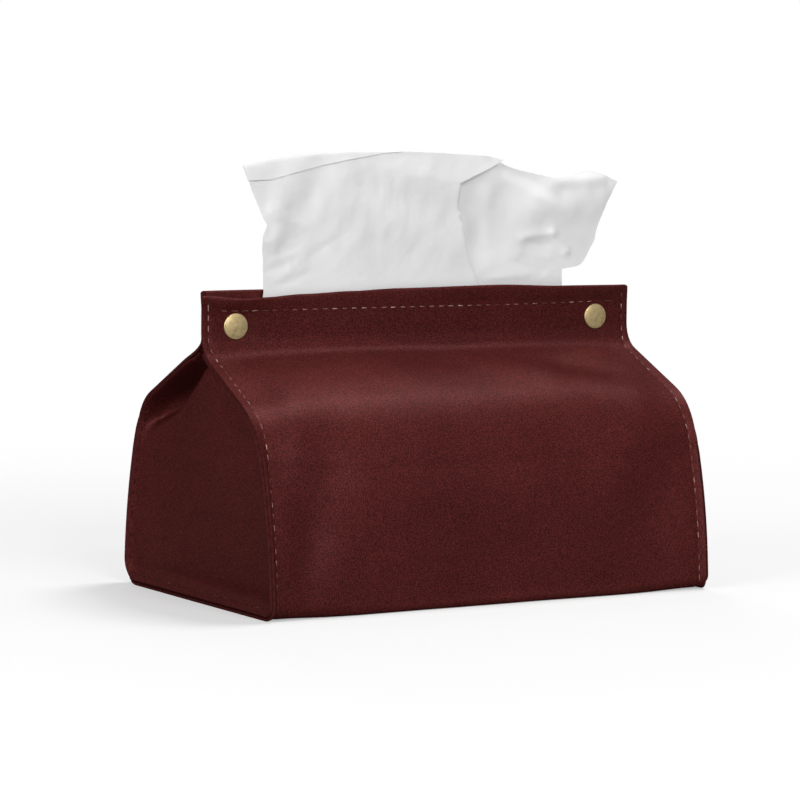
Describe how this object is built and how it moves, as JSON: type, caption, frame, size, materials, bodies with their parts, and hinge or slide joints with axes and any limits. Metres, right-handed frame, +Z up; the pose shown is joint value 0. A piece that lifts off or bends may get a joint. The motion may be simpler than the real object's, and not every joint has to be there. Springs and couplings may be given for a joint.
{
  "type": "tissue box cover",
  "caption": "Soft leather cover for a pack of tissues: wrapped body, sewn end gussets, two lips closed by press studs, tissue standing in the slot.",
  "frame": {"origin": "middle of the base, on the table", "axes": "+X along the cover to its right end, -Y is the front with the snap caps, +Z up"},
  "size_m": [0.225, 0.1413, 0.1957],
  "materials": {
    "leather": "soft pebbled grain, burgundy, low sheen",
    "lining": "brushed fabric backing",
    "thread": "twisted sewing thread",
    "brass": "pale satin brass",
    "spring_wire": "drawn wire",
    "board": "pressed grey board",
    "film": "thin clear wrapper",
    "tissue": "two-ply tissue paper"
  },
  "bodies": {
    "cover": {"base_board": "board", "left_end_thread": "thread", "left_gusset": "leather", "left_gusset_lining": "lining", "right_end_thread": "thread", "right_gusset": "leather", "right_gusset_lining": "lining", "tissue_pack_film": "film", "tissue_stack": "tissue", "wrap_lining": "lining", "wrap_panel": "leather"},
    "front_flap": {"front_lip": "leather", "front_lip_lining": "lining", "front_hem_thread": "thread", "left_snap_cap": "brass", "left_snap_socket": "brass", "left_socket_spring": "spring_wire", "right_snap_cap": "brass", "right_snap_socket": "brass", "right_socket_spring": "spring_wire"},
    "back_flap": {"back_lip": "leather", "back_lip_lining": "lining", "back_hem_thread": "thread", "left_snap_stud": "brass", "left_snap_post": "brass", "right_snap_stud": "brass", "right_snap_post": "brass"},
    "tissue": {"tissue_sheet": "tissue"}
  },
  "joints": [
    {"name": "front_lip_fold", "type": "hinge", "parent": "cover", "child": "front_flap", "pos_m": [0, -0.0028, 0.1122], "axis": [1, 0, 0], "range_deg": [0, 60]},
    {"name": "back_lip_fold", "type": "hinge", "parent": "cover", "child": "back_flap", "pos_m": [0, 0.0028, 0.1122], "axis": [-1, 0, 0], "range_deg": [0, 60]},
    {"name": "tissue_pull", "type": "slide", "parent": "cover", "child": "tissue", "axis": [0, 0, 1], "range_m": [0, 0.075]}
  ]
}
